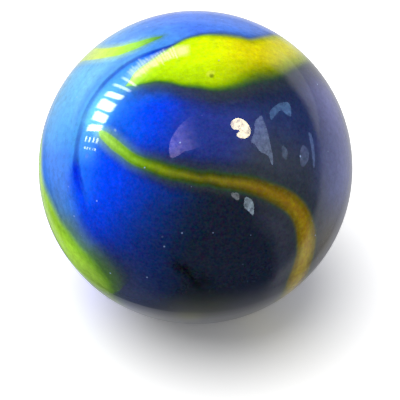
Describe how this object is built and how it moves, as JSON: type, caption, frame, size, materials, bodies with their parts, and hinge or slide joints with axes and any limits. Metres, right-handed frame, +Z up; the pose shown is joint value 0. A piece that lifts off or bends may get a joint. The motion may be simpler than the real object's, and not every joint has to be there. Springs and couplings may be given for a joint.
{
  "type": "glass marble",
  "caption": "Solid round glass ball, opaque cobalt blue glass with lime and yellow ribbons swirled through it and a smooth fire-polished skin.",
  "frame": {"origin": "centre of the ball", "axes": "+Z up, the ball's axis of symmetry; -Y faces the front, where the ribbons bend most"},
  "size_m": [0.016, 0.016, 0.016],
  "materials": {
    "swirl_glass": "fire-polished opaque cobalt glass with lime and yellow ribbons"
  },
  "bodies": {
    "root": {"marble": "swirl_glass"}
  },
  "joints": []
}
